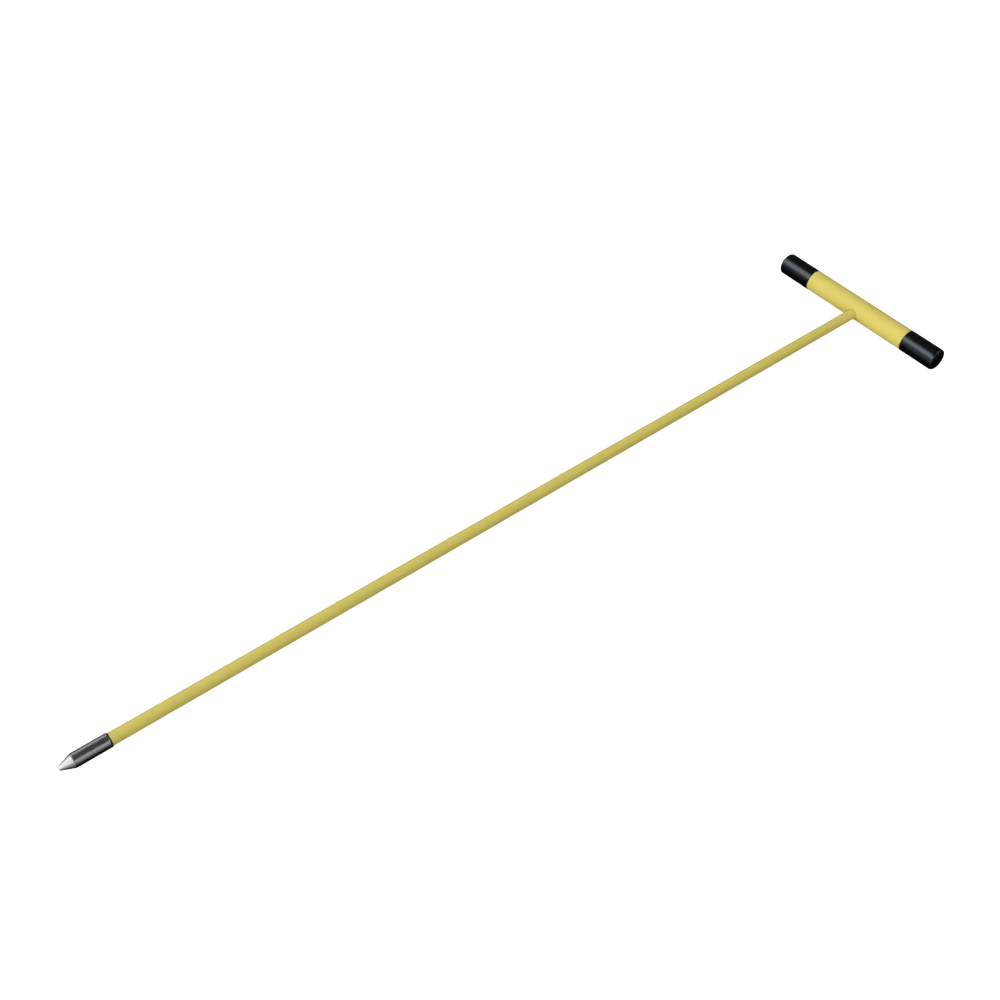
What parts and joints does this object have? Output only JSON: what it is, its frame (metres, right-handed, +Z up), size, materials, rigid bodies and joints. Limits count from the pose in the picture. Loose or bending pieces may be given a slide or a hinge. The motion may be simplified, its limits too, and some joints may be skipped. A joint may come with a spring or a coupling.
{
  "type": "t-handle ground probe",
  "caption": "Rigid T-handled probe: a long round jacketed shaft, a cross handle with rounded black end caps, and a steel ferrule with a blunt cone point.",
  "frame": {"origin": "on the ground, under the middle of the whole tool as it lies flat", "axes": "+X along the shaft from the point to the handle, Y along the handle with end_cap_left at +Y, +Z up"},
  "size_m": [1.2348, 0.28, 0.0314],
  "materials": {
    "yellow_jacket": "satin",
    "black_rubber": "satin",
    "dark_steel": "satin",
    "bright_steel": "satin",
    "fibreglass": "satin",
    "nylon": "satin",
    "foam": "matte"
  },
  "bodies": {
    "root": {"shaft_core": "fibreglass", "shaft_jacket": "yellow_jacket", "handle_tube": "fibreglass", "handle_jacket": "yellow_jacket", "handle_hub": "nylon", "hub_pin": "nylon", "foam_plug_left": "foam", "foam_plug_right": "foam", "end_cap_left": "black_rubber", "end_cap_right": "black_rubber", "tip_ferrule": "dark_steel", "ferrule_pin": "dark_steel", "ferrule_seal": "black_rubber", "tip_point": "bright_steel"}
  },
  "joints": []
}
